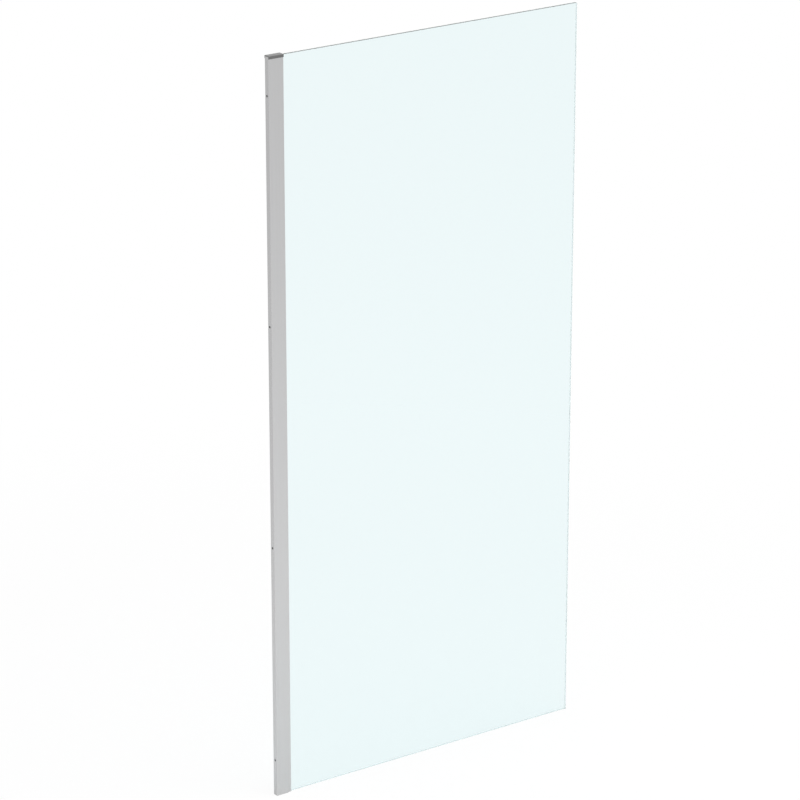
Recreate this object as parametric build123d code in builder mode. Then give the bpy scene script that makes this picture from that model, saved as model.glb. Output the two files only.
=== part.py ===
"""A walk-in shower screen: one sheet of toughened glass held along its wall edge.

The glass is gripped by a glazing profile, and that profile slides in a wall channel so
that the screen can be set to a wall that is out of true. Clamp screws behind cover caps
on the shower side lock it.

The screen stands on the shower tray at Z = 0, with the wall channel against the wall at
X = 0. X runs from the wall to the glass's free edge, the middle of the glass lies in the
plane Y = 0, -Y is the dry side and +Y is the shower side.
"""

import os

from build123d import *

os.makedirs("parts", exist_ok=True)

# Overall size
screen_height = 2000.0
glass_reach = 952.0

# How far the glass and its profile slide towards the wall, and away from it
travel_in = 8.0
travel_out = 7.0
end_clearance = 0.3

# Glass
glass_thickness = 8.0
glass_arris = 0.3
glass_corner_radius = 1.5

# Strips, blocks and pads that cushion the glass
gasket_thickness = 0.85
gasket_lip_length = 0.8
gasket_lip_cover = 0.8
edge_block_count = 3
edge_block_thickness = 1.0
edge_block_height = 40.0
edge_block_end_distance = 300.0
pad_thickness = 1.0
pad_overhang = 0.5
corner_pad_length = 6.0
pad_fit = 0.1

# Glazing profile
glazing_wall = 1.4
glazing_web = 1.5
glazing_edge_radius = 0.4
pocket_depth = 12.0
strip_width = 10.0
profile_lift = 0.5
top_clearance = 0.4

# Wall channel
channel_wall = 1.5
channel_web = 1.8
channel_edge_radius = 0.5
slide_clearance = 0.25

# Holes for the wall screws
wall_hole_radius = 3.0
wall_hole_count = 4
wall_hole_end_distance = 100.0

# Clamp screws, with their nut plates and cover caps
clamp_count = 3
clamp_end_distance = 200.0
screw_radius = 2.0
screw_tip_length = 0.6
screw_hole_clearance = 0.15
thread_fit = 0.05
head_radius = 4.0
head_height = 2.6
head_edge_radius = 1.1
recess_length = 4.4
recess_width = 1.0
recess_depth = 1.5
nut_plate_width = 8.0
nut_plate_height = 30.0
nut_plate_thickness = 2.5
nut_plate_radius = 0.8
nut_plate_gap = 0.3
nut_plate_grip = 6.1
cap_base_radius = 5.8
cap_base_thickness = 1.2
cover_fit = 0.1
cover_wall = 1.1
cover_edge_radius = 1.8

# Top cap
cap_plate_thickness = 2.3
cap_skirt_height = 5.5
cap_skirt_thickness = 1.0
cap_fit = 0.1
cap_setback = 0.6
cap_edge_radius = 0.9
spigot_length = 7.0
spigot_depth = 12.0
spigot_chamfer = 1.0

# Places across the profiles, from the middle of the glass outwards
glass_half = glass_thickness / 2
pocket_half = glass_half + gasket_thickness
glazing_half = pocket_half + glazing_wall
channel_inner_half = glazing_half + slide_clearance
channel_half = channel_inner_half + channel_wall

# Places along X, from the wall. Drawn right out, the legs still reach nut_plate_grip over
# the nut plates, and pushed right in, their root clears the plates
leg_end = channel_web + end_clearance + travel_in
nut_plate_edge = leg_end + travel_out + nut_plate_grip
leg_root = nut_plate_edge + end_clearance + travel_in
pocket_floor = leg_root + glazing_web
glass_hidden_edge = pocket_floor + edge_block_thickness
glazing_mouth = pocket_floor + pocket_depth
channel_width = glazing_mouth - strip_width
clamp_x = nut_plate_edge - nut_plate_width / 2
notch_end = clamp_x + travel_in + screw_radius + end_clearance

# Places along Z, from the tray
glass_bottom = pad_thickness
glass_top = screen_height - top_clearance
glass_height = glass_top - glass_bottom
profile_length = glass_top - profile_lift


def spread(count, end_distance):
    """Heights of count things, evenly spaced, the outer ones end_distance from the ends."""
    pitch = (screen_height - 2 * end_distance) / (count - 1)
    return [end_distance + pitch * index for index in range(count)]


wall_hole_heights = spread(wall_hole_count, wall_hole_end_distance)
clamp_heights = spread(clamp_count, clamp_end_distance)
edge_block_heights = spread(edge_block_count, edge_block_end_distance)


def across_screen(y):
    """The upright plane at this Y, in which a sketch reads X and Z. It extrudes towards -Y."""
    return Plane.XZ.offset(-y)


def save(sub_part, name):
    sub_part.part.label = name
    export_step(sub_part.part, f"parts/{name}.step")


# Wall channel: an aluminium U with holes for the wall screws and the clamp screws
with BuildPart() as wall_channel:
    with BuildSketch(Plane.XY) as channel_section:
        with Locations((channel_width / 2, 0)):
            Rectangle(channel_width, 2 * channel_half)
        with Locations((channel_web, 0)):
            Rectangle(
                channel_width,
                2 * channel_inner_half,
                align=(Align.MIN, Align.CENTER),
                mode=Mode.SUBTRACT,
            )
        web_corners = channel_section.vertices().group_by(Axis.X)[0]
        fillet(web_corners, channel_edge_radius)
    extrude(amount=screen_height)
    with BuildSketch(Plane.YZ):
        with Locations(*[(0, height) for height in wall_hole_heights]):
            Circle(wall_hole_radius)
    extrude(amount=channel_web, mode=Mode.SUBTRACT)
    with BuildSketch(across_screen(channel_half)):
        with Locations(*[(clamp_x, height) for height in clamp_heights]):
            Circle(screw_radius + screw_hole_clearance)
    extrude(amount=channel_wall, mode=Mode.SUBTRACT)
save(wall_channel, "wall_channel")

# Glazing profile: an aluminium H, the glass in its mouth and two legs in the wall channel
with BuildPart() as glazing_profile:
    with BuildSketch(Plane.XY.offset(profile_lift)) as glazing_section:
        with Locations((leg_end, 0)):
            Rectangle(
                glazing_mouth - leg_end,
                2 * glazing_half,
                align=(Align.MIN, Align.CENTER),
            )
        fillet(glazing_section.vertices(), glazing_edge_radius)
        with Locations((leg_root, 0)):
            Rectangle(
                leg_root,
                2 * pocket_half,
                align=(Align.MAX, Align.CENTER),
                mode=Mode.SUBTRACT,
            )
        with Locations((pocket_floor, 0)):
            Rectangle(
                2 * pocket_depth,
                2 * pocket_half,
                align=(Align.MIN, Align.CENTER),
                mode=Mode.SUBTRACT,
            )
    extrude(amount=profile_length)
    # Open notches in the shower-side leg let the clamp screws pass as the profile slides
    with BuildSketch(across_screen(glazing_half)):
        for height in clamp_heights:
            notch_half = screw_radius + end_clearance
            with Locations((notch_end - notch_half, height)):
                Circle(notch_half)
                Rectangle(
                    notch_end,
                    2 * notch_half,
                    align=(Align.MAX, Align.CENTER),
                )
    extrude(amount=glazing_wall, mode=Mode.SUBTRACT)
save(glazing_profile, "glazing_profile")

# Glass: one toughened sheet, its edges ground to a small arris all round
with BuildPart() as glass_panel:
    with BuildSketch(across_screen(glass_half)) as glass_outline:
        with Locations((glass_hidden_edge, glass_bottom)):
            Rectangle(
                glass_reach - glass_hidden_edge,
                glass_height,
                align=(Align.MIN, Align.MIN),
            )
        free_corners = glass_outline.vertices().group_by(Axis.X)[-1]
        fillet(free_corners, glass_corner_radius)
    extrude(amount=glass_thickness)
    faces_of_sheet = glass_panel.faces().filter_by(Axis.Y).group_by(SortBy.AREA)[-1]
    chamfer(faces_of_sheet.edges(), glass_arris)
save(glass_panel, "glass_panel")


def make_gasket(name, side):
    """A soft strip between the glass and one wall of its pocket, with a lip over the mouth."""
    with BuildPart() as gasket:
        with BuildSketch(Plane.XY.offset(glass_bottom)) as gasket_section:
            with BuildLine():
                Polyline(
                    (glass_hidden_edge, side * glass_half),
                    (glazing_mouth + gasket_lip_length, side * glass_half),
                    (glazing_mouth, side * (pocket_half + gasket_lip_cover)),
                    (glazing_mouth, side * pocket_half),
                    (glass_hidden_edge, side * pocket_half),
                    close=True,
                )
            make_face()
        extrude(amount=glass_height)
    save(gasket, name)


make_gasket("front_gasket", -1)
make_gasket("rear_gasket", 1)

# Edge blocks, numbered from the lowest, keep the glass's hidden edge off the metal
for number, height in enumerate(edge_block_heights, start=1):
    with BuildPart() as edge_block:
        with BuildSketch(Plane.YZ.offset(pocket_floor)) as block_outline:
            with Locations((0, height)):
                Rectangle(glass_thickness, edge_block_height)
            fillet(block_outline.vertices(), edge_block_thickness)
        extrude(amount=edge_block_thickness)
    save(edge_block, f"edge_block_{number}")

# A packer in the pocket and a pad under the free corner carry the glass on the tray
with BuildPart() as wall_end_packer:
    with BuildSketch(Plane.XY) as packer_outline:
        with Locations((glass_hidden_edge, 0)):
            Rectangle(
                glazing_mouth - glass_hidden_edge,
                2 * (pocket_half - pad_fit),
                align=(Align.MIN, Align.CENTER),
            )
        fillet(packer_outline.vertices(), pad_thickness)
    extrude(amount=pad_thickness)
save(wall_end_packer, "wall_end_packer")

with BuildPart() as corner_pad:
    with BuildSketch(Plane.XY) as pad_outline:
        with Locations((glass_reach, 0)):
            Rectangle(
                corner_pad_length,
                glass_thickness + 2 * pad_overhang,
                align=(Align.MAX, Align.CENTER),
            )
        fillet(pad_outline.vertices(), pad_thickness)
    extrude(amount=pad_thickness)
save(corner_pad, "corner_pad")

# Clamp screws: cross-recessed pan heads outside the channel, one for each nut plate
nut_plate_outer = pocket_half - nut_plate_gap
nut_plate_inner = nut_plate_outer - nut_plate_thickness
under_head = channel_half + cap_base_thickness
head_top = under_head + head_height
screw_length = under_head - nut_plate_inner + screw_tip_length
clamp_places = [(clamp_x, height) for height in clamp_heights]
with BuildPart() as clamp_screws:
    with BuildSketch(across_screen(head_top)):
        with Locations(*clamp_places):
            Circle(head_radius)
    extrude(amount=head_height)
    head_rims = clamp_screws.edges().filter_by(GeomType.CIRCLE).group_by(Axis.Y)[-1]
    fillet(head_rims, head_edge_radius)
    with BuildSketch(across_screen(under_head)):
        with Locations(*clamp_places):
            Circle(screw_radius)
    extrude(amount=screw_length)
    with BuildSketch(across_screen(head_top)):
        with Locations(*clamp_places):
            Rectangle(recess_length, recess_width)
            Rectangle(recess_width, recess_length)
    extrude(amount=recess_depth, mode=Mode.SUBTRACT)
save(clamp_screws, "clamp_screws")


def make_nut_plate(name, height):
    """The threaded plate that a clamp screw draws against the glazing profile's leg."""
    with BuildPart() as nut_plate:
        with BuildSketch(across_screen(nut_plate_outer)) as plate_outline:
            with Locations((clamp_x, height)):
                Rectangle(nut_plate_width, nut_plate_height)
            fillet(plate_outline.vertices(), nut_plate_radius)
            with Locations((clamp_x, height)):
                Circle(screw_radius + thread_fit, mode=Mode.SUBTRACT)
        extrude(amount=nut_plate_thickness)
    save(nut_plate, name)


def make_cap_base(name, height):
    """The washer under a clamp screw's head, which its cover snaps on."""
    with BuildPart() as cap_base:
        with BuildSketch(across_screen(under_head)):
            with Locations((clamp_x, height)):
                Circle(cap_base_radius)
                Circle(screw_radius + thread_fit, mode=Mode.SUBTRACT)
        extrude(amount=cap_base_thickness)
    save(cap_base, name)


def make_screw_cover(name, height):
    """A domed cover over a clamp screw's head, hollow, standing on the channel."""
    cavity_radius = cap_base_radius + cover_fit / 2
    cavity_top = head_top + cover_fit
    cover_top = cavity_top + cover_wall
    with BuildPart() as screw_cover:
        with BuildSketch(across_screen(cover_top)):
            with Locations((clamp_x, height)):
                Circle(cavity_radius + cover_wall)
        extrude(amount=cover_top - channel_half)
        cover_rim = screw_cover.edges().group_by(Axis.Y)[-1]
        fillet(cover_rim, cover_edge_radius)
        with BuildSketch(across_screen(cavity_top)):
            with Locations((clamp_x, height)):
                Circle(cavity_radius)
        extrude(amount=cavity_top - channel_half, mode=Mode.SUBTRACT)
    save(screw_cover, name)


# Each clamp, numbered from the lowest, has its own plate, base and cover
for number, height in enumerate(clamp_heights, start=1):
    make_nut_plate(f"nut_plate_{number}", height)
    make_cap_base(f"cap_base_{number}", height)
    make_screw_cover(f"screw_cover_{number}", height)

# Top cap: a plate over the profiles' ends, a skirt down each side and a spigot inside
skirt_inner = channel_half + cap_fit
skirt_outer = skirt_inner + cap_skirt_thickness
cap_length = glazing_mouth - cap_setback
with BuildPart() as top_cap:
    with BuildSketch(Plane.XY.offset(screen_height - cap_skirt_height)):
        with Locations((0, 0)):
            Rectangle(cap_length, 2 * skirt_outer, align=(Align.MIN, Align.CENTER))
    extrude(amount=cap_skirt_height + cap_plate_thickness)
    cap_rim = top_cap.faces().sort_by(Axis.Z)[-1].edges()
    fillet(cap_rim, cap_edge_radius)
    with BuildSketch(Plane.XY.offset(screen_height - cap_skirt_height)):
        with Locations((0, 0)):
            Rectangle(cap_length, 2 * skirt_inner, align=(Align.MIN, Align.CENTER))
    extrude(amount=cap_skirt_height, mode=Mode.SUBTRACT)
    with BuildSketch(Plane.XY.offset(screen_height - spigot_depth)):
        with Locations((channel_web + cap_fit, 0)):
            Rectangle(
                spigot_length,
                2 * (pocket_half - end_clearance),
                align=(Align.MIN, Align.CENTER),
            )
    extrude(amount=spigot_depth)
    spigot_rim = top_cap.faces().sort_by(Axis.Z)[0].edges()
    chamfer(spigot_rim, spigot_chamfer)
save(top_cap, "top_cap")
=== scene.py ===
"""Finishes, small parts and studio of a walk-in shower screen.

All lengths are in metres. X runs from the wall to the glass's free edge, the middle of the
glass lies in the plane Y = 0, -Y is the dry side, +Y is the shower side, and the screen
stands on the floor at Z = 0.

The extrusions, the glass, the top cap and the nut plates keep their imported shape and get
their finish here. The sealing strips, pads, screws and screw caps are modelled anew, in the
space that their plain solids hold.
"""

import math

import bmesh
import bpy
from bpy.props import FloatProperty, FloatVectorProperty, PointerProperty
from mathutils import Euler, Matrix, Vector


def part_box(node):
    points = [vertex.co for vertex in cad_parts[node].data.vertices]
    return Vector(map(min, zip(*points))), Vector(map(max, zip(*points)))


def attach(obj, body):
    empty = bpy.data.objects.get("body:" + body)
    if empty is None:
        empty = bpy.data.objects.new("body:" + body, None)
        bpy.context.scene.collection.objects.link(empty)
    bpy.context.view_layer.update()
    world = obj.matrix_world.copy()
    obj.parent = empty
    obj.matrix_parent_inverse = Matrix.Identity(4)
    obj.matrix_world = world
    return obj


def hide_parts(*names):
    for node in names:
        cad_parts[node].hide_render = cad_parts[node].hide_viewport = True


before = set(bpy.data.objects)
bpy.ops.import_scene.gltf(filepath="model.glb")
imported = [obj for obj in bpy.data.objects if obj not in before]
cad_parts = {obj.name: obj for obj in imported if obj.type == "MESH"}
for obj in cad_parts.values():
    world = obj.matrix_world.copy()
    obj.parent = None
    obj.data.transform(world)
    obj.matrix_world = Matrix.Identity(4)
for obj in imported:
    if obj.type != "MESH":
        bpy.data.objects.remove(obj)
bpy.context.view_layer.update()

bl_info = {
    "name": "Walk-in shower screen",
    "version": (1, 0, 0),
    "blender": (4, 5, 0),
    "location": "3D View > Sidebar > Shower Screen",
    "description": "Finishes, small parts and studio of a walk-in shower screen",
    "category": "Object",
}

# Bodies: what is fixed to the wall, and what slides out of it with the glass
WALL_BODY = "wall_frame"
GLASS_BODY = "glass_frame"

# Vertices nearer to each other than this are one
WELD = 1e-6

# Edges that turn by more than this stay sharp in the shading
SHARP_TURN = math.radians(32)

# Small parts stay this far from the faces that they touch, so that no two faces coincide
FACE_GAP = 0.00002

# Sides of a turned part and of the floor, and of one turn of a thread
TURNED_SIDES = 64
THREAD_SIDES = 24

# Where the crest of a strip's fin lies, as a share of the width of its foot
FIN_CREST = 0.7

# Share of its width that a cross recess keeps at its foot
RECESS_TAPER = 0.6

# How far inside the rounding of a screw's head the flat with the recess ends
RECESS_MARGIN = 10 * WELD

# Chamfer of a screw's point, as a share of the core's radius
POINT_CHAMFER = 0.4

# Radius that a thread starts at, as a share of the core's, so that the two overlap
THREAD_ROOT = 0.97

# Half the width of a thread's ridge at its root and at its crest, in pitches
RIDGE_ROOT = 0.45
RIDGE_CREST = 0.07

# Heights of the swell round a cap base, as shares of its thickness: its foot, and the two
# ends of its widest part
BASE_SWELL = (0.35, 0.5, 0.8)

# The glass is polished where its normal has this much of Y or more
POLISHED_TURN = 0.9

# Colour sockets of a Mix node set to RGBA: its two inputs and its result
MIX_FIRST = 6
MIX_SECOND = 7
MIX_RESULT = 2


def linear(hex_colour):
    """The linear red, green and blue of an sRGB hex colour."""
    channels = [int(hex_colour[place : place + 2], 16) / 255 for place in (0, 2, 4)]
    return [c / 12.92 if c <= 0.04045 else ((c + 0.055) / 1.055) ** 2.4 for c in channels]


def length(name, default, description):
    """A length in metres that a user can change."""
    return FloatProperty(
        name=name,
        description=description,
        default=default,
        min=0.0,
        precision=5,
        subtype="DISTANCE",
        unit="LENGTH",
    )


def colour(name, hex_colour, description):
    """A colour that a user can change."""
    return FloatVectorProperty(
        name=name,
        description=description,
        default=linear(hex_colour),
        min=0.0,
        max=1.0,
        size=3,
        subtype="COLOR",
    )


def amount(name, default, description, **limits):
    """A plain number that a user can change."""
    return FloatProperty(
        name=name, description=description, default=default, min=0.0, precision=3, **limits
    )


class ScreenSizes(bpy.types.PropertyGroup):
    """Sizes of the small parts."""

    strip_body: length("Strip body", 0.00055, "Thickness of a sealing strip between fins")
    strip_fins: length("Strip fins", 0.00083, "Thickness of a sealing strip over its fins")
    fin_pitch: length("Fin pitch", 0.0024, "Distance between a strip's fins")
    fin_foot: length("Fin foot", 0.0009, "Width of a strip's fin at its foot")
    lip_bulge: length("Lip bulge", 0.00018, "How far a strip's lip is rounded outwards")
    pad_corner: length("Pad corner", 0.00095, "Corner radius of the pads and edge blocks")
    pad_rim: length("Pad rim", 0.0002, "Rounding of the pads' and edge blocks' rims")
    groove_pitch: length("Groove pitch", 0.002, "Distance between the pads' grip grooves")
    groove_width: length("Groove width", 0.0008, "Width of a grip groove")
    groove_depth: length("Groove depth", 0.0003, "Depth of a grip groove")
    screw_width: length("Screw width", 0.004, "Diameter of a clamp screw over its thread")
    thread_pitch: length("Thread pitch", 0.0007, "Rise of the thread in one turn")
    thread_depth: length("Thread depth", 0.00043, "Depth of the thread")
    head_height: length("Head height", 0.0026, "Height of a screw's pan head")
    head_round: length("Head rounding", 0.0011, "Rounding of a screw's pan head")
    recess_span: length("Recess span", 0.0044, "Length of the cross recess's arms")
    recess_width: length("Recess width", 0.001, "Width of the cross recess's arms")
    recess_depth: length("Recess depth", 0.0015, "Depth of the cross recess")
    base_bore_gap: length("Bore gap", 0.00006, "Gap between a screw and its cap base")
    base_chamfer: length("Base chamfer", 0.00025, "Chamfer round a cap base")
    cover_wall: length("Cover wall", 0.0011, "Wall of a screw cover")
    cover_crown: length("Cover crown", 0.0004, "How far a screw cover's top is domed")
    cover_draft: length("Cover draft", 0.0001, "How far a screw cover narrows upwards")
    cover_shoulder: length("Cover shoulder", 0.0016, "Rounding of a screw cover's edge")
    cover_rim: length("Cover rim", 0.00025, "Rounding of a screw cover's rim")


class ScreenFinishes(bpy.types.PropertyGroup):
    """Colours of the finishes, and the grain of their patterns."""

    aluminium: colour("Aluminium", "C9C9C9", "Satin anodised aluminium")
    aluminium_band: colour("Aluminium bands", "CDCDCE", "Its slightly paler bands")
    glass_body: colour("Glass body", "5BD8DF", "Tint that light takes in the glass")
    glass_density: amount("Glass density", 19.0, "How fast it takes that tint, per metre")
    glass_edge: colour("Glass edge", "D8E4E2", "Light that the ground edges scatter")
    glass_haze: amount("Glass edge haze", 0.12, "Share of light that they scatter", max=1.0)
    grinding_grit: length("Grinding grit", 0.0005, "Grain of the ground edges")
    cap: colour("Top cap", "626262", "Grey plastic of the top cap")
    cap_mottle: colour("Top cap mottle", "676767", "Its slightly paler mottle")
    strip: colour("Sealing strip", "C4CCCC", "Clear soft sealing strip")
    rubber: colour("Pads", "969A9A", "Grey rubber of the pads and edge blocks")
    rubber_bloom: colour("Pad bloom", "A2A5A5", "Dusty bloom on that rubber")
    steel: colour("Steel", "B0AFAB", "Stainless steel of the screws and nut plates")
    nylon: colour("Cap base", "E4E4DF", "White nylon of the cap bases")
    nylon_mottle: colour("Cap base mottle", "DEDED7", "Its slightly yellower mottle")
    cover: colour("Screw cover", "C2C2C3", "Satin plated screw covers")
    die_line: length("Die lines", 0.0004, "Spacing of the lines along the extrusions")
    die_band: length("Die bands", 0.005, "Width of the broad bands along them")
    spark_grain: length("Mould grain", 0.0004, "Grain of the spark-eroded moulds")
    flow_mottle: length("Mottle", 0.012, "Size of the mottle in moulded plastic")
    turning_line: length("Turning lines", 0.00015, "Spacing of the lathe's lines")
    rolling_line: length("Rolling lines", 0.0003, "Spacing of the lines on rolled steel")


class ScreenStudio(bpy.types.PropertyGroup):
    """The camera, the floor and the light."""

    azimuth: FloatProperty(
        name="Azimuth",
        description="How far the camera looks to the right of +Y",
        default=math.radians(34.78),
        subtype="ANGLE",
        unit="ROTATION",
    )
    elevation: FloatProperty(
        name="Elevation",
        description="How far the camera looks down",
        default=math.radians(20.10),
        subtype="ANGLE",
        unit="ROTATION",
    )
    distance: length("Distance", 9.861, "From the camera to the point it looks at")
    aim: FloatVectorProperty(
        name="Aim",
        description="Point of the glass's middle plane that the camera looks at",
        default=(0.398, 0.0, 1.022),
        size=3,
        precision=4,
        subtype="TRANSLATION",
        unit="LENGTH",
    )
    lens: FloatProperty(
        name="Lens",
        description="Focal length for a sensor of 36 mm, in millimetres",
        default=171.18,
        min=1.0,
        unit="CAMERA",
    )
    floor: colour("Floor", "F9F9F9", "White studio floor")
    floor_radius: length("Floor radius", 45.0, "Radius of the round floor")
    floor_glow: amount("Floor glow", 0.9, "Share of plain white in the floor as seen", max=1.0)
    floor_gloss: amount("Floor gloss", 0.1, "The same share in the metal's reflections", max=1.0)
    shadow_reach: length("Shadow reach", 1.2, "How far from the wall channel shadows show in full")
    shadow_end: length("Shadow end", 3.0, "How far from it the last of them fades")
    world_level: amount("World level", 0.72, "Strength of the world's light on the object")
    lamp_power: FloatProperty(
        name="Lamp power",
        description="Power of the soft box over the floor on the dry side",
        default=90.0,
        min=0.0,
        unit="POWER",
    )
    lamp_width: length("Lamp width", 2.4, "Width of the soft box")
    lamp_place: FloatVectorProperty(
        name="Lamp place",
        description="Where the soft box hangs",
        default=(0.8, -1.2, 4.5),
        size=3,
        subtype="TRANSLATION",
        unit="LENGTH",
    )


SETTINGS = {
    "screen_sizes": ScreenSizes,
    "screen_finishes": ScreenFinishes,
    "screen_studio": ScreenStudio,
}


def add_node(tree, kind, settings=None, inputs=None):
    """Adds a node of this kind, with its settings and its inputs. An input is a plain value,
    or another node's output, which is then linked to it."""
    node = tree.nodes.new(kind)
    for name, value in (settings or {}).items():
        setattr(node, name, value)
    for socket, value in (inputs or {}).items():
        if isinstance(value, bpy.types.NodeSocket):
            tree.links.new(value, node.inputs[socket])
        else:
            node.inputs[socket].default_value = value
    return node


def new_material(name):
    """A material with an empty node tree."""
    material = bpy.data.materials.new(name)
    material.use_nodes = True
    material.node_tree.nodes.clear()
    return material, material.node_tree


def finish(context, make):
    """The material that this function makes, made once and then shared."""
    return bpy.data.materials.get(make.__name__) or make(context)


def solid(rgb):
    """A colour with full alpha, as a shader's colour socket takes it."""
    return (*rgb, 1.0)


def satin_anodised_aluminium(context):
    """Extruded aluminium, etched and clear anodised. The etch leaves an even satin grey with
    soft reflections, and the die draws fine straight lines along the profile."""
    finishes = context.scene.screen_finishes
    material, tree = new_material("satin_anodised_aluminium")
    place = add_node(tree, "ShaderNodeTexCoord")
    # A line runs on for hundreds of times its width
    along = add_node(
        tree,
        "ShaderNodeMapping",
        inputs={"Vector": place.outputs["Object"], "Scale": (1.0, 1.0, 0.003)},
    )
    lines = add_node(
        tree,
        "ShaderNodeTexNoise",
        inputs={"Vector": along.outputs[0], "Scale": 1 / finishes.die_line, "Detail": 1.0},
    )
    # The bands stand for the lines from further off, where the lines are too fine to show
    bands = add_node(
        tree,
        "ShaderNodeTexNoise",
        inputs={"Vector": along.outputs[0], "Scale": 1 / finishes.die_band, "Detail": 1.0},
    )
    tone = add_node(
        tree,
        "ShaderNodeMix",
        {"data_type": "RGBA"},
        {
            "Factor": bands.outputs["Fac"],
            MIX_FIRST: solid(finishes.aluminium),
            MIX_SECOND: solid(finishes.aluminium_band),
        },
    )
    roughness = add_node(
        tree,
        "ShaderNodeMapRange",
        inputs={"Value": lines.outputs["Fac"], "To Min": 0.28, "To Max": 0.52},
    )
    relief = add_node(
        tree,
        "ShaderNodeBump",
        inputs={"Height": lines.outputs["Fac"], "Strength": 0.6, "Distance": 0.00003},
    )
    shader = add_node(
        tree,
        "ShaderNodeBsdfPrincipled",
        inputs={
            "Base Color": tone.outputs[MIX_RESULT],
            "Metallic": 1.0,
            "Roughness": roughness.outputs["Result"],
            "Normal": relief.outputs["Normal"],
        },
    )
    add_node(tree, "ShaderNodeOutputMaterial", inputs={"Surface": shader.outputs[0]})
    return material


def clear_float_glass(context):
    """Toughened soda-lime float glass. Its two faces are fire-polished and flat, and its body
    takes out a little red, which tints white a pale aqua. Its edges and arrises are ground
    to a satin, which scatters part of the light and shows the tint as a green edge."""
    finishes = context.scene.screen_finishes
    material, tree = new_material("clear_float_glass")
    place = add_node(tree, "ShaderNodeTexCoord")
    normal = add_node(
        tree, "ShaderNodeSeparateXYZ", inputs={"Vector": place.outputs["Normal"]}
    )
    # The polished faces look along Y, and all that is ground looks another way
    facing = add_node(
        tree, "ShaderNodeMath", {"operation": "ABSOLUTE"}, {0: normal.outputs["Y"]}
    )
    ground = add_node(
        tree,
        "ShaderNodeMath",
        {"operation": "LESS_THAN"},
        {0: facing.outputs[0], 1: POLISHED_TURN},
    )
    grit = add_node(
        tree,
        "ShaderNodeTexNoise",
        inputs={
            "Vector": place.outputs["Object"],
            "Scale": 1 / finishes.grinding_grit,
            "Detail": 2.0,
        },
    )
    satin = add_node(
        tree,
        "ShaderNodeMapRange",
        inputs={"Value": grit.outputs["Fac"], "To Min": 0.15, "To Max": 0.35},
    )
    roughness = add_node(
        tree,
        "ShaderNodeMath",
        {"operation": "MULTIPLY"},
        {0: ground.outputs[0], 1: satin.outputs["Result"]},
    )
    clarity = add_node(
        tree,
        "ShaderNodeMapRange",
        inputs={"Value": ground.outputs[0], "To Min": 1.0, "To Max": 1 - finishes.glass_haze},
    )
    tone = add_node(
        tree,
        "ShaderNodeMix",
        {"data_type": "RGBA"},
        {
            "Factor": ground.outputs[0],
            MIX_FIRST: solid((1.0, 1.0, 1.0)),
            MIX_SECOND: solid(finishes.glass_edge),
        },
    )
    shader = add_node(
        tree,
        "ShaderNodeBsdfPrincipled",
        inputs={
            "Base Color": tone.outputs[MIX_RESULT],
            "Roughness": roughness.outputs[0],
            "IOR": 1.52,
            "Transmission Weight": clarity.outputs["Result"],
        },
    )
    # The lamps' light passes straight through, less what the two faces throw back
    clear = add_node(
        tree, "ShaderNodeBsdfTransparent", inputs={"Color": (0.96, 0.96, 0.96, 1.0)}
    )
    path = add_node(tree, "ShaderNodeLightPath")
    surface = add_node(
        tree,
        "ShaderNodeMixShader",
        inputs={0: path.outputs["Is Shadow Ray"], 1: shader.outputs[0], 2: clear.outputs[0]},
    )
    body = add_node(
        tree,
        "ShaderNodeVolumeAbsorption",
        inputs={"Color": solid(finishes.glass_body), "Density": finishes.glass_density},
    )
    add_node(
        tree,
        "ShaderNodeOutputMaterial",
        inputs={"Surface": surface.outputs[0], "Volume": body.outputs[0]},
    )
    return material


def moulded(context, name, tone, mottle, roughness, **settings):
    """Something moulded in a spark-eroded mould, which gives it a fine even grain."""
    finishes = context.scene.screen_finishes
    material, tree = new_material(name)
    place = add_node(tree, "ShaderNodeTexCoord")
    grain = add_node(
        tree,
        "ShaderNodeTexNoise",
        inputs={
            "Vector": place.outputs["Object"],
            "Scale": 1 / finishes.spark_grain,
            "Detail": 3.0,
        },
    )
    flow = add_node(
        tree,
        "ShaderNodeTexNoise",
        inputs={
            "Vector": place.outputs["Object"],
            "Scale": 1 / finishes.flow_mottle,
            "Detail": 2.0,
        },
    )
    base = add_node(
        tree,
        "ShaderNodeMix",
        {"data_type": "RGBA"},
        {"Factor": flow.outputs["Fac"], MIX_FIRST: solid(tone), MIX_SECOND: solid(mottle)},
    )
    sheen = add_node(
        tree,
        "ShaderNodeMapRange",
        inputs={
            "Value": grain.outputs["Fac"],
            "To Min": roughness - 0.06,
            "To Max": roughness + 0.06,
        },
    )
    relief = add_node(
        tree,
        "ShaderNodeBump",
        inputs={"Height": grain.outputs["Fac"], "Strength": 0.3, "Distance": 0.00003},
    )
    shader = add_node(
        tree,
        "ShaderNodeBsdfPrincipled",
        inputs={
            "Base Color": base.outputs[MIX_RESULT],
            "Roughness": sheen.outputs["Result"],
            "Normal": relief.outputs["Normal"],
            **settings,
        },
    )
    add_node(tree, "ShaderNodeOutputMaterial", inputs={"Surface": shader.outputs[0]})
    return material


def moulded_grey_abs(context):
    """Grey ABS of the top cap, with a satin grain that goes pale at a glancing angle."""
    finishes = context.scene.screen_finishes
    return moulded(
        context, "moulded_grey_abs", finishes.cap, finishes.cap_mottle, 0.36, IOR=1.54
    )


def moulded_white_nylon(context):
    """White nylon of the cap bases, waxy and a little uneven in colour."""
    finishes = context.scene.screen_finishes
    return moulded(
        context, "moulded_white_nylon", finishes.nylon, finishes.nylon_mottle, 0.42, IOR=1.53
    )


def moulded_grey_rubber(context):
    """Grey EPDM of the pads and edge blocks, dull, with a pale bloom."""
    finishes = context.scene.screen_finishes
    return moulded(
        context, "moulded_grey_rubber", finishes.rubber, finishes.rubber_bloom, 0.72, IOR=1.51
    )


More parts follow.
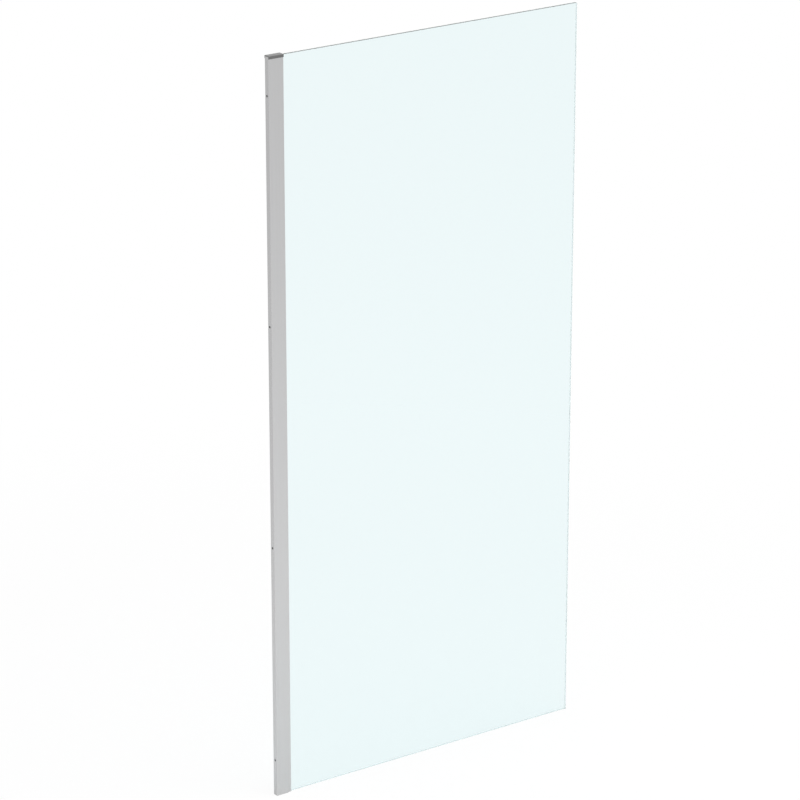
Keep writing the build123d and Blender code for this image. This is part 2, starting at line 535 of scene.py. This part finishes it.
def satin_plated_abs(context):
    """ABS screw covers with a satin chrome plate, a shade brighter than the extrusions."""
    finishes = context.scene.screen_finishes
    return moulded(
        context, "satin_plated_abs", finishes.cover, finishes.cover, 0.32, Metallic=1.0
    )


def clear_soft_pvc(context):
    """Extruded clear PVC of the sealing strips. It is cloudy rather than glassy, and picks
    up the grey of the metal behind it."""
    finishes = context.scene.screen_finishes
    material, tree = new_material("clear_soft_pvc")
    place = add_node(tree, "ShaderNodeTexCoord")
    # The die drags its marks out to fifty times their width
    along = add_node(
        tree,
        "ShaderNodeMapping",
        inputs={"Vector": place.outputs["Object"], "Scale": (1.0, 1.0, 0.02)},
    )
    drag = add_node(
        tree,
        "ShaderNodeTexNoise",
        inputs={"Vector": along.outputs[0], "Scale": 1 / finishes.die_line, "Detail": 2.0},
    )
    roughness = add_node(
        tree,
        "ShaderNodeMapRange",
        inputs={"Value": drag.outputs["Fac"], "To Min": 0.3, "To Max": 0.45},
    )
    relief = add_node(
        tree,
        "ShaderNodeBump",
        inputs={"Height": drag.outputs["Fac"], "Strength": 0.2, "Distance": 0.00002},
    )
    shader = add_node(
        tree,
        "ShaderNodeBsdfPrincipled",
        inputs={
            "Base Color": solid(finishes.strip),
            "Roughness": roughness.outputs["Result"],
            "IOR": 1.53,
            "Transmission Weight": 0.6,
            "Normal": relief.outputs["Normal"],
        },
    )
    add_node(tree, "ShaderNodeOutputMaterial", inputs={"Surface": shader.outputs[0]})
    return material


def steel_shader(tree, finishes, lines):
    """Bare stainless steel, whose fine tool lines vary its gloss and its relief."""
    roughness = add_node(
        tree,
        "ShaderNodeMapRange",
        inputs={"Value": lines, "To Min": 0.22, "To Max": 0.4},
    )
    relief = add_node(
        tree,
        "ShaderNodeBump",
        inputs={"Height": lines, "Strength": 0.3, "Distance": 0.00002},
    )
    shader = add_node(
        tree,
        "ShaderNodeBsdfPrincipled",
        inputs={
            "Base Color": solid(finishes.steel),
            "Metallic": 1.0,
            "Roughness": roughness.outputs["Result"],
            "Normal": relief.outputs["Normal"],
        },
    )
    add_node(tree, "ShaderNodeOutputMaterial", inputs={"Surface": shader.outputs[0]})


def turned_stainless_steel(context):
    """Stainless steel of the clamp screws, with the rings that a lathe leaves about them."""
    finishes = context.scene.screen_finishes
    material, tree = new_material("turned_stainless_steel")
    first, second = [middle(f"screw_cover_{number}") for number in (1, 2)]
    half_pitch = (second.z - first.z) / 2
    place = add_node(tree, "ShaderNodeTexCoord")
    from_first = add_node(
        tree,
        "ShaderNodeVectorMath",
        {"operation": "SUBTRACT"},
        {0: place.outputs["Object"], 1: first},
    )
    # The screws are evenly spaced, so each one's rings are the first one's
    from_axis = add_node(
        tree,
        "ShaderNodeVectorMath",
        {"operation": "WRAP"},
        {
            0: from_first.outputs[0],
            1: (half_pitch, half_pitch, half_pitch),
            2: (-half_pitch, -half_pitch, -half_pitch),
        },
    )
    across = add_node(
        tree,
        "ShaderNodeVectorMath",
        {"operation": "MULTIPLY"},
        {0: from_axis.outputs[0], 1: (1.0, 0.0, 1.0)},
    )
    radius = add_node(
        tree, "ShaderNodeVectorMath", {"operation": "LENGTH"}, {0: across.outputs[0]}
    )
    rings = add_node(
        tree,
        "ShaderNodeTexNoise",
        {"noise_dimensions": "1D"},
        {"W": radius.outputs["Value"], "Scale": 1 / finishes.turning_line, "Detail": 1.0},
    )
    steel_shader(tree, finishes, rings.outputs["Fac"])
    return material


def rolled_stainless_steel(context):
    """Stainless strip of the nut plates, with the lines of the rolls along it."""
    finishes = context.scene.screen_finishes
    material, tree = new_material("rolled_stainless_steel")
    place = add_node(tree, "ShaderNodeTexCoord")
    # The rolls' lines run on for a hundred times their width
    along = add_node(
        tree,
        "ShaderNodeMapping",
        inputs={"Vector": place.outputs["Object"], "Scale": (1.0, 1.0, 0.01)},
    )
    lines = add_node(
        tree,
        "ShaderNodeTexNoise",
        inputs={"Vector": along.outputs[0], "Scale": 1 / finishes.rolling_line, "Detail": 2.0},
    )
    steel_shader(tree, finishes, lines.outputs["Fac"])
    return material


def middle(node):
    """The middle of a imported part's box."""
    low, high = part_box(node)
    return (low + high) / 2


def finish_nodes(context, make, *names):
    """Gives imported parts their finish."""
    for name in names:
        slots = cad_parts[name].data.materials
        slots.clear()
        slots.append(finish(context, make))


def make_piece(context, bm, name, make, body, slot, *nodes):
    """Makes a finished piece from a bmesh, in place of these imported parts."""
    mesh = bpy.data.meshes.new(name)
    bm.to_mesh(mesh)
    bm.free()
    mesh.materials.append(finish(context, make))
    mesh.shade_smooth()
    mesh.set_sharp_from_angle(angle=SHARP_TURN)
    piece = bpy.data.objects.new(name, mesh)
    context.scene.collection.objects.link(piece)
    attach(piece, body)
    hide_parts(*nodes)


def bevel(bm, edges, offset, segments):
    """Rounds these edges."""
    bmesh.ops.bevel(
        bm,
        geom=edges,
        offset=offset,
        offset_type="OFFSET",
        segments=segments,
        profile=0.5,
        affect="EDGES",
        material=-1,
    )


def turned(outline, closed=False):
    """A solid of revolution about Z, from (radius, height) points. A closed outline makes a
    ring, and an open one starts or ends on the axis."""
    bm = bmesh.new()
    points = [bm.verts.new((radius, 0.0, height)) for radius, height in outline]
    for start, end in zip(points, points[1:]):
        bm.edges.new((start, end))
    if closed:
        bm.edges.new((points[-1], points[0]))
    bmesh.ops.spin(
        bm,
        geom=bm.verts[:] + bm.edges[:],
        cent=(0.0, 0.0, 0.0),
        axis=(0.0, 0.0, 1.0),
        angle=math.tau,
        steps=TURNED_SIDES,
        use_merge=True,
    )
    bmesh.ops.remove_doubles(bm, verts=bm.verts, dist=WELD)
    bmesh.ops.recalc_face_normals(bm, faces=bm.faces)
    return bm


def ring(bm, radius, height):
    """The edges of the circle of this radius, at this height."""
    return [
        edge
        for edge in bm.edges
        if all(
            abs(vert.co.xy.length - radius) < WELD and abs(vert.co.z - height) < WELD
            for vert in edge.verts
        )
    ]


def face_shower(bm, place):
    """Turns a part that was made upright so that its top faces the shower, at this place."""
    turn = Matrix.Rotation(-math.pi / 2, 4, "X")
    bmesh.ops.transform(bm, matrix=Matrix.Translation(place) @ turn, verts=bm.verts)


def strip_outline(sizes, low, high, mouth, glass_face):
    """The section of a sealing strip: its face along the glass, its lip over the profile's
    mouth, and fins towards the metal. Each point is a place along X and one out from the
    glass's middle plane."""
    inner = glass_face + FACE_GAP
    body = glass_face + sizes.strip_body
    crest = glass_face + sizes.strip_fins
    lip = high.y if high.y > 0 else -low.y
    tip, seat = high.x, mouth + FACE_GAP
    bulge = sizes.lip_bulge
    outline = [
        (low.x, inner),
        (tip, inner),
        (tip, inner + bulge),
        ((tip + seat) / 2 + bulge, (inner + lip) / 2 + bulge),
        (seat + bulge, lip),
        (seat, lip - bulge),
        (seat, body),
    ]
    fin = seat - sizes.fin_pitch / 2
    while fin - sizes.fin_foot > low.x:
        outline += [
            (fin, body),
            (fin - sizes.fin_foot * FIN_CREST, crest),
            (fin - sizes.fin_foot, body),
        ]
        fin -= sizes.fin_pitch
    return outline + [(low.x, body)]


def make_strip(context, name, node):
    """One sealing strip, extruded along the glass."""
    sizes = context.scene.screen_sizes
    low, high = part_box(node)
    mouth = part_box("glazing_profile")[1].x
    glass_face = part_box("glass_panel")[1].y
    side = math.copysign(1.0, low.y + high.y)
    bm = bmesh.new()
    section = [
        bm.verts.new((x, side * out, low.z))
        for x, out in strip_outline(sizes, low, high, mouth, glass_face)
    ]
    foot = bm.faces.new(section)
    grown = bmesh.ops.extrude_face_region(bm, geom=[foot])["geom"]
    top = [part for part in grown if isinstance(part, bmesh.types.BMVert)]
    bmesh.ops.translate(bm, verts=top, vec=(0.0, 0.0, high.z - low.z))
    bmesh.ops.recalc_face_normals(bm, faces=bm.faces)
    make_piece(context, bm, name, clear_soft_pvc, GLASS_BODY, "clear_strip", node)


def make_pad(context, name, node):
    """One soft pad or block, with rounded corners and grip grooves across its lower side."""
    sizes = context.scene.screen_sizes
    low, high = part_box(node)
    span = high - low
    thin, wide, long = sorted(range(3), key=lambda axis: span[axis])
    size = Vector((span[long], span[wide], span[thin])) - Vector((FACE_GAP,) * 3) * 2
    bm = bmesh.new()
    bmesh.ops.create_cube(bm, size=1.0)
    bmesh.ops.scale(bm, vec=size, verts=bm.verts)
    corners = [edge for edge in bm.edges if abs(edge.verts[0].co.z - edge.verts[1].co.z) > WELD]
    bevel(bm, corners, sizes.pad_corner, segments=4)
    rims = [
        edge
        for edge in bm.edges
        if edge.calc_face_angle() > SHARP_TURN
        and abs(edge.verts[0].co.z - edge.verts[1].co.z) < WELD
    ]
    bevel(bm, rims, sizes.pad_rim, segments=2)
    count = int((size.x - 2 * sizes.pad_corner) / sizes.groove_pitch)
    for number in range(count):
        groove = (number - (count - 1) / 2) * sizes.groove_pitch
        for cut in (-sizes.groove_width / 2, 0.0, sizes.groove_width / 2):
            bmesh.ops.bisect_plane(
                bm,
                geom=bm.verts[:] + bm.edges[:] + bm.faces[:],
                plane_co=(groove + cut, 0.0, 0.0),
                plane_no=(1.0, 0.0, 0.0),
            )
        for vert in bm.verts:
            if abs(vert.co.x - groove) < WELD:
                vert.co.z = max(vert.co.z, sizes.groove_depth - size.z / 2)
    # The pad's length, width and thickness are laid along the box's own
    turn = Matrix.Identity(3)
    for column, axis in enumerate((long, wide, thin)):
        turn.col[column] = [float(axis == row) for row in range(3)]
    if turn.determinant() < 0:
        turn.col[1].negate()
    bmesh.ops.transform(
        bm,
        matrix=Matrix.Translation((low + high) / 2) @ turn.to_4x4(),
        verts=bm.verts,
    )
    bmesh.ops.recalc_face_normals(bm, faces=bm.faces)
    make_piece(context, bm, name, moulded_grey_rubber, GLASS_BODY, "grey_pad", node)


def cut_cross_recess(bm, sizes, rim_radius, top):
    """Closes a screw head that is open within this radius, with a cross recess in it."""
    reach, half = sizes.recess_span / 2, sizes.recess_width / 2
    rim = ring(bm, rim_radius, top)
    arms = [
        bm.verts.new(Matrix.Rotation(quarter * math.pi / 2, 3, "Z") @ Vector((x, y, top)))
        for quarter in range(4)
        for x, y in ((reach, -half), (reach, half), (half, half))
    ]
    cross = [bm.edges.new((start, end)) for start, end in zip(arms, arms[1:] + arms[:1])]
    bmesh.ops.triangle_fill(bm, edges=rim + cross, use_beauty=True)
    grown = bmesh.ops.extrude_edge_only(bm, edges=cross)["geom"]
    foot = [part for part in grown if isinstance(part, bmesh.types.BMVert)]
    foot_edges = [part for part in grown if isinstance(part, bmesh.types.BMEdge)]
    bmesh.ops.translate(bm, verts=foot, vec=(0.0, 0.0, -sizes.recess_depth))
    # The recess narrows towards its foot
    bmesh.ops.scale(bm, vec=(RECESS_TAPER, RECESS_TAPER, 1.0), verts=foot)
    bmesh.ops.triangle_fill(bm, edges=foot_edges, use_beauty=True)


def add_thread(bm, sizes, core_radius, low, high):
    """Winds a thread round a shank, between two heights."""
    pitch = sizes.thread_pitch
    turns = (high - low) / pitch - 1
    sides = round(turns * THREAD_SIDES)
    root, crest = core_radius * THREAD_ROOT, sizes.screw_width / 2
    ridge = [
        bm.verts.new((radius, 0.0, low + pitch / 2 + rise * pitch))
        for radius, rise in (
            (root, -RIDGE_ROOT),
            (crest, -RIDGE_CREST),
            (crest, RIDGE_CREST),
            (root, RIDGE_ROOT),
        )
    ]
    edges = [bm.edges.new((start, end)) for start, end in zip(ridge, ridge[1:] + ridge[:1])]
    bmesh.ops.spin(
        bm,
        geom=ridge + edges,
        cent=(0.0, 0.0, 0.0),
        axis=(0.0, 0.0, 1.0),
        dvec=(0.0, 0.0, (high - low - pitch) / sides),
        angle=math.tau * turns,
        steps=sides,
        use_merge=False,
    )
    bmesh.ops.holes_fill(bm, edges=[edge for edge in bm.edges if edge.is_boundary], sides=4)


class SHOWERSCREEN_OT_wall_channel(bpy.types.Operator):
    """Finishes the channel that is screwed to the wall"""

    bl_idname = "shower_screen.wall_channel"
    bl_label = "Wall Channel"
    bl_options = {"REGISTER", "UNDO"}

    def execute(self, context):
        finish_nodes(context, satin_anodised_aluminium, "wall_channel")
        return {"FINISHED"}


class SHOWERSCREEN_OT_glazing_profile(bpy.types.Operator):
    """Finishes the profile that grips the glass and slides in the wall channel"""

    bl_idname = "shower_screen.glazing_profile"
    bl_label = "Glazing Profile"
    bl_options = {"REGISTER", "UNDO"}

    def execute(self, context):
        finish_nodes(context, satin_anodised_aluminium, "glazing_profile")
        return {"FINISHED"}


class SHOWERSCREEN_OT_glass_panel(bpy.types.Operator):
    """Finishes the sheet of glass"""

    bl_idname = "shower_screen.glass_panel"
    bl_label = "Glass Panel"
    bl_options = {"REGISTER", "UNDO"}

    def execute(self, context):
        finish_nodes(context, clear_float_glass, "glass_panel")
        return {"FINISHED"}


class SHOWERSCREEN_OT_top_cap(bpy.types.Operator):
    """Finishes the cap over the profiles' upper ends"""

    bl_idname = "shower_screen.top_cap"
    bl_label = "Top Cap"
    bl_options = {"REGISTER", "UNDO"}

    def execute(self, context):
        finish_nodes(context, moulded_grey_abs, "top_cap")
        return {"FINISHED"}


class SHOWERSCREEN_OT_sealing_strips(bpy.types.Operator):
    """Models the soft strips between the glass and its profile, with their lips and fins"""

    bl_idname = "shower_screen.sealing_strips"
    bl_label = "Sealing Strips"
    bl_options = {"REGISTER", "UNDO"}

    def execute(self, context):
        make_strip(context, "front_sealing_strip", "front_gasket")
        make_strip(context, "rear_sealing_strip", "rear_gasket")
        return {"FINISHED"}


class SHOWERSCREEN_OT_edge_blocks(bpy.types.Operator):
    """Models the blocks that keep the glass's hidden edge off the metal"""

    bl_idname = "shower_screen.edge_blocks"
    bl_label = "Edge Blocks"
    bl_options = {"REGISTER", "UNDO"}

    def execute(self, context):
        for number in (1, 2, 3):
            make_pad(context, f"grooved_edge_block_{number}", f"edge_block_{number}")
        return {"FINISHED"}


class SHOWERSCREEN_OT_glass_pads(bpy.types.Operator):
    """Models the packer and the corner pad that the glass stands on"""

    bl_idname = "shower_screen.glass_pads"
    bl_label = "Glass Pads"
    bl_options = {"REGISTER", "UNDO"}

    def execute(self, context):
        make_pad(context, "grooved_packer", "wall_end_packer")
        make_pad(context, "grooved_corner_pad", "corner_pad")
        return {"FINISHED"}


class SHOWERSCREEN_OT_clamp_screws(bpy.types.Operator):
    """Models the threaded screws that clamp the glazing profile"""

    bl_idname = "shower_screen.clamp_screws"
    bl_label = "Clamp Screws"
    bl_options = {"REGISTER", "UNDO"}

    def execute(self, context):
        sizes = context.scene.screen_sizes
        low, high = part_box("clamp_screws")
        top = high.y - low.y
        under_head = top - sizes.head_height
        head = (high.x - low.x) / 2
        core = sizes.screw_width / 2 - sizes.thread_depth
        # The flat of the head that is left inside its rounding
        flat = head - sizes.head_round - RECESS_MARGIN
        point = core * POINT_CHAMFER
        bm = turned(
            [
                (flat, top),
                (head, top),
                (head, under_head),
                (core, under_head),
                (core, point),
                (core - point, 0.0),
                (0.0, 0.0),
            ]
        )
        bevel(bm, ring(bm, head, top), sizes.head_round, segments=5)
        cut_cross_recess(bm, sizes, flat, top)
        add_thread(bm, sizes, core, point, under_head - sizes.thread_pitch / 2)
        bmesh.ops.recalc_face_normals(bm, faces=bm.faces)
        places = [middle(f"screw_cover_{number}") for number in (1, 2, 3)]
        face_shower(bm, (places[0].x, low.y, places[0].z))
        screw = bm.verts[:] + bm.edges[:] + bm.faces[:]
        for place in places[1:]:
            copy = bmesh.ops.duplicate(bm, geom=screw)["geom"]
            verts = [part for part in copy if isinstance(part, bmesh.types.BMVert)]
            bmesh.ops.translate(bm, verts=verts, vec=place - places[0])
        make_piece(
            context,
            bm,
            "threaded_clamp_screws",
            turned_stainless_steel,
            WALL_BODY,
            "stainless_steel",
            "clamp_screws",
        )
        return {"FINISHED"}


class SHOWERSCREEN_OT_nut_plates(bpy.types.Operator):
    """Finishes the threaded plates that the clamp screws draw up"""

    bl_idname = "shower_screen.nut_plates"
    bl_label = "Nut Plates"
    bl_options = {"REGISTER", "UNDO"}

    def execute(self, context):
        plates = [f"nut_plate_{number}" for number in (1, 2, 3)]
        finish_nodes(context, rolled_stainless_steel, *plates)
        return {"FINISHED"}


class SHOWERSCREEN_OT_cap_bases(bpy.types.Operator):
    """Models the washers that the screw covers snap on"""

    bl_idname = "shower_screen.cap_bases"
    bl_label = "Cap Bases"
    bl_options = {"REGISTER", "UNDO"}

    def execute(self, context):
        sizes = context.scene.screen_sizes
        for number in (1, 2, 3):
            low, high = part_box(f"cap_base_{number}")
            outer = (high.x - low.x) / 2
            bore = sizes.screw_width / 2 + sizes.base_bore_gap
            thick = high.y - low.y - 2 * FACE_GAP
            chamfer = sizes.base_chamfer
            waist = outer - chamfer
            # The cover's rim snaps over the swell round the washer's upper half
            swell_foot, swell_low, swell_high = [thick * share for share in BASE_SWELL]
            bm = turned(
                [
                    (bore, 0.0),
                    (waist, 0.0),
                    (waist, swell_foot),
                    (outer, swell_low),
                    (outer, swell_high),
                    (waist, thick),
                    (bore + chamfer, thick),
                    (bore, thick - chamfer),
                ],
                closed=True,
            )
            place = middle(f"cap_base_{number}")
            face_shower(bm, (place.x, low.y + FACE_GAP, place.z))
            make_piece(
                context,
                bm,
                f"moulded_cap_base_{number}",
                moulded_white_nylon,
                WALL_BODY,
                "white_base_plastic",
                f"cap_base_{number}",
            )
        return {"FINISHED"}


class SHOWERSCREEN_OT_screw_covers(bpy.types.Operator):
    """Models the domed covers over the clamp screws' heads"""

    bl_idname = "shower_screen.screw_covers"
    bl_label = "Screw Covers"
    bl_options = {"REGISTER", "UNDO"}

    def execute(self, context):
        sizes = context.scene.screen_sizes
        for number in (1, 2, 3):
            low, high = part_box(f"screw_cover_{number}")
            rim = (high.x - low.x) / 2
            shoulder = rim - sizes.cover_draft
            height = high.y - low.y - FACE_GAP
            cavity = rim - sizes.cover_wall
            ceiling = height - sizes.cover_wall
            dome = [
                (shoulder * share, height - sizes.cover_crown * share**2)
                for share in (0.0, 0.2, 0.4, 0.6, 0.8, 1.0)
            ]
            bm = turned([*dome, (rim, 0.0), (cavity, 0.0), (cavity, ceiling), (0.0, ceiling)])
            bevel(bm, ring(bm, *dome[-1]), sizes.cover_shoulder, segments=6)
            bevel(bm, ring(bm, rim, 0.0), sizes.cover_rim, segments=2)
            bevel(bm, ring(bm, cavity, ceiling), sizes.cover_rim, segments=2)
            place = middle(f"screw_cover_{number}")
            face_shower(bm, (place.x, low.y + FACE_GAP, place.z))
            make_piece(
                context,
                bm,
                f"domed_screw_cover_{number}",
                satin_plated_abs,
                WALL_BODY,
                "silver_cover_plastic",
                f"screw_cover_{number}",
            )
        return {"FINISHED"}


def white_studio_floor(context):
    """A matt white studio floor. Cameras and glass see it mostly as plain white, and metal
    sees a little of that. The rest of what they see keeps the screen's shadow."""
    studio = context.scene.screen_studio
    material, tree = new_material("white_studio_floor")
    lit = add_node(tree, "ShaderNodeBsdfDiffuse", inputs={"Color": solid(studio.floor)})
    white = add_node(tree, "ShaderNodeEmission", inputs={"Strength": 1.0})
    path = add_node(tree, "ShaderNodeLightPath")
    seen = add_node(
        tree,
        "ShaderNodeMath",
        {"operation": "MAXIMUM"},
        {0: path.outputs["Is Camera Ray"], 1: path.outputs["Is Transmission Ray"]},
    )
    # Further off than the shadows reach, the floor is plain white
    place = add_node(tree, "ShaderNodeTexCoord")
    away = add_node(
        tree, "ShaderNodeVectorMath", {"operation": "LENGTH"}, {0: place.outputs["Object"]}
    )
    fade = add_node(
        tree,
        "ShaderNodeMapRange",
        {"interpolation_type": "SMOOTHSTEP"},
        {
            "Value": away.outputs["Value"],
            "From Min": studio.shadow_reach,
            "From Max": studio.shadow_end,
            "To Min": studio.floor_glow,
            "To Max": 1.0,
        },
    )
    glow = add_node(
        tree,
        "ShaderNodeMath",
        {"operation": "MULTIPLY"},
        {0: seen.outputs[0], 1: fade.outputs["Result"]},
    )
    gloss = add_node(
        tree,
        "ShaderNodeMath",
        {"operation": "MULTIPLY"},
        {0: path.outputs["Is Glossy Ray"], 1: studio.floor_gloss},
    )
    share = add_node(
        tree,
        "ShaderNodeMath",
        {"operation": "MAXIMUM"},
        {0: glow.outputs[0], 1: gloss.outputs[0]},
    )
    surface = add_node(
        tree,
        "ShaderNodeMixShader",
        inputs={0: share.outputs[0], 1: lit.outputs[0], 2: white.outputs[0]},
    )
    add_node(tree, "ShaderNodeOutputMaterial", inputs={"Surface": surface.outputs[0]})
    return material


def make_floor(context):
    """A large round floor."""
    bm = bmesh.new()
    bmesh.ops.create_circle(
        bm,
        cap_ends=True,
        segments=TURNED_SIDES,
        radius=context.scene.screen_studio.floor_radius,
    )
    mesh = bpy.data.meshes.new("studio_floor")
    bm.to_mesh(mesh)
    bm.free()
    mesh.materials.append(finish(context, white_studio_floor))
    floor = bpy.data.objects.new("studio_floor", mesh)
    context.scene.collection.objects.link(floor)


def make_world(context):
    """A world that cameras, glass and metal see as white, and that lights the screen evenly
    at a plain level."""
    world = bpy.data.worlds.new("white_studio")
    context.scene.world = world
    world.use_nodes = True
    tree = world.node_tree
    tree.nodes.clear()
    light = add_node(
        tree,
        "ShaderNodeBackground",
        inputs={
            "Color": (1.0, 1.0, 1.0, 1.0),
            "Strength": context.scene.screen_studio.world_level,
        },
    )
    white = add_node(
        tree,
        "ShaderNodeBackground",
        inputs={"Color": (1.0, 1.0, 1.0, 1.0), "Strength": 1.0},
    )
    path = add_node(tree, "ShaderNodeLightPath")
    seen = add_node(
        tree,
        "ShaderNodeMath",
        {"operation": "MAXIMUM"},
        {0: path.outputs["Is Camera Ray"], 1: path.outputs["Is Transmission Ray"]},
    )
    shown = add_node(
        tree,
        "ShaderNodeMath",
        {"operation": "MAXIMUM"},
        {0: seen.outputs[0], 1: path.outputs["Is Glossy Ray"]},
    )
    surface = add_node(
        tree,
        "ShaderNodeMixShader",
        inputs={0: shown.outputs[0], 1: light.outputs[0], 2: white.outputs[0]},
    )
    add_node(tree, "ShaderNodeOutputWorld", inputs={"Surface": surface.outputs[0]})


def make_soft_box(context):
    """A square soft box that hangs over the floor on the dry side and shines straight down.
    Its pool of light on the floor is what the satin metal reflects."""
    studio = context.scene.screen_studio
    light = bpy.data.lights.new("soft_box", "AREA")
    light.shape = "SQUARE"
    light.size = studio.lamp_width
    light.energy = studio.lamp_power
    lamp = bpy.data.objects.new("soft_box", light)
    lamp.location = studio.lamp_place
    lamp.visible_camera = False
    lamp.visible_transmission = False
    context.scene.collection.objects.link(lamp)


def make_camera(context):
    """A long lens from the dry side and above, to the left of the wall channel."""
    studio = context.scene.screen_studio
    camera = bpy.data.cameras.new("camera")
    camera.lens = studio.lens
    stand = bpy.data.objects.new("camera", camera)
    turn = Euler((math.pi / 2 - studio.elevation, 0.0, -studio.azimuth))
    stand.rotation_euler = turn
    stand.location = Vector(studio.aim) + turn.to_matrix() @ Vector((0, 0, studio.distance))
    context.scene.collection.objects.link(stand)
    context.scene.camera = stand


class SHOWERSCREEN_OT_stage(bpy.types.Operator):
    """Builds the floor, the light and the camera"""

    bl_idname = "shower_screen.stage"
    bl_label = "Studio"
    bl_options = {"REGISTER", "UNDO"}

    def execute(self, context):
        make_floor(context)
        make_world(context)
        make_soft_box(context)
        make_camera(context)
        context.scene.view_settings.view_transform = "Standard"
        return {"FINISHED"}


OPERATORS = (
    SHOWERSCREEN_OT_wall_channel,
    SHOWERSCREEN_OT_glazing_profile,
    SHOWERSCREEN_OT_glass_panel,
    SHOWERSCREEN_OT_top_cap,
    SHOWERSCREEN_OT_sealing_strips,
    SHOWERSCREEN_OT_edge_blocks,
    SHOWERSCREEN_OT_glass_pads,
    SHOWERSCREEN_OT_clamp_screws,
    SHOWERSCREEN_OT_nut_plates,
    SHOWERSCREEN_OT_cap_bases,
    SHOWERSCREEN_OT_screw_covers,
    SHOWERSCREEN_OT_stage,
)


class SHOWERSCREEN_PT_build(bpy.types.Panel):
    """Lists the screen's pieces, and the sizes and colours that can be changed"""

    bl_idname = "SHOWERSCREEN_PT_build"
    bl_label = "Shower Screen"
    bl_space_type = "VIEW_3D"
    bl_region_type = "UI"
    bl_category = "Shower Screen"

    def draw(self, context):
        layout = self.layout
        layout.use_property_split = True
        for name, group in SETTINGS.items():
            box = layout.box()
            for setting in group.__annotations__:
                box.prop(getattr(context.scene, name), setting)
        for operator in OPERATORS:
            layout.operator(operator.bl_idname)


CLASSES = (*SETTINGS.values(), *OPERATORS, SHOWERSCREEN_PT_build)


def register():
    for cls in CLASSES:
        bpy.utils.register_class(cls)
    for name, group in SETTINGS.items():
        setattr(bpy.types.Scene, name, PointerProperty(type=group))


def unregister():
    for name in SETTINGS:
        delattr(bpy.types.Scene, name)
    for cls in reversed(CLASSES):
        bpy.utils.unregister_class(cls)


def main():
    """Builds the screen and its studio."""
    register()
    for operator in OPERATORS:
        category, name = operator.bl_idname.split(".")
        getattr(getattr(bpy.ops, category), name)()


if __name__ == "__main__":
    main()
